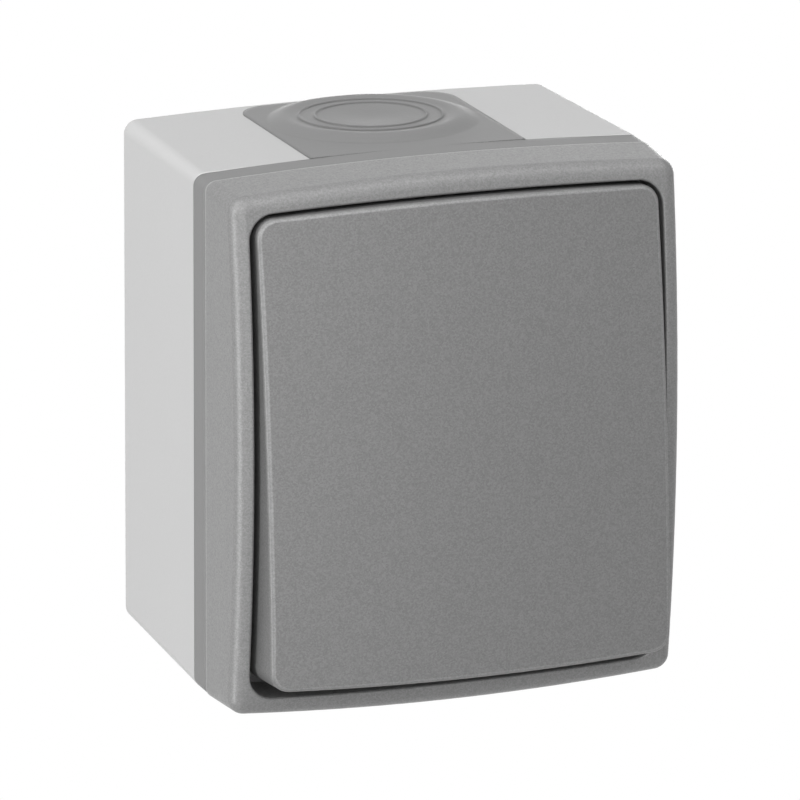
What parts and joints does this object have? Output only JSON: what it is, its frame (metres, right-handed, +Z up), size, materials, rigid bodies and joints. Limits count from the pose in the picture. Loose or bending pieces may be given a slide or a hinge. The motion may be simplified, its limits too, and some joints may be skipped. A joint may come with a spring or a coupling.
{
  "type": "weatherproof bell push",
  "caption": "Surface-mounted weatherproof bell push: a box with a soft cable seal, a domed frame and one large tilting push plate that springs back.",
  "frame": {"origin": "centre of the box's back face, in the plane of the wall", "axes": "+Y into the wall, +Z up, +X to the right for someone who faces the front"},
  "size_m": [0.0754, 0.0644, 0.0882],
  "materials": {
    "box_plastic": "fine textured light grey moulding",
    "seal_rubber": "soft matt mid grey",
    "frame_plastic": "pearl grey metallic lacquer",
    "plate_plastic": "darker grey metallic lacquer",
    "inner_plastic": "black moulding",
    "cradle_plastic": "off-white moulding",
    "zinc_steel": "bright zinc plated",
    "spring_steel": "drawn wire",
    "copper_alloy": "stamped strip",
    "contact_silver": "polished tip"
  },
  "bodies": {
    "housing": {"back_box": "box_plastic", "entry_seal": "seal_rubber", "wall_screw_seals": "seal_rubber", "front_frame": "frame_plastic", "frame_screws": "zinc_steel", "support_plate": "zinc_steel", "support_screws": "zinc_steel", "frame_gasket": "seal_rubber", "contact_base": "inner_plastic", "contact_cover": "inner_plastic", "block_rivets": "zinc_steel", "contact_strip_left": "copper_alloy", "contact_strip_right": "copper_alloy", "fixed_contact_tips": "contact_silver", "terminal_clamp_left": "zinc_steel", "terminal_clamp_right": "zinc_steel", "terminal_screws": "zinc_steel", "return_spring": "spring_steel"},
    "push": {"push_plate": "plate_plastic", "rocker_cradle": "cradle_plastic"},
    "plunger_set": {"plunger": "cradle_plastic", "contact_bridge": "copper_alloy", "bridge_tips": "contact_silver"}
  },
  "joints": [
    {"name": "push_tilt", "type": "hinge", "parent": "housing", "child": "push", "pos_m": [0, -0.044, 0], "axis": [1, 0, 0], "range_deg": [0, 7], "stiffness_Nm_per_rad": 0.45, "springref_deg": -9},
    {"name": "plunger_slide", "type": "slide", "parent": "housing", "child": "plunger_set", "axis": [0, 1, 0], "range_m": [0, 0.00147], "deforming": ["return_spring"]}
  ],
  "couplings": [
    {"joint": "plunger_slide", "follows": "push_tilt", "m_per_rad": 0.012}
  ]
}
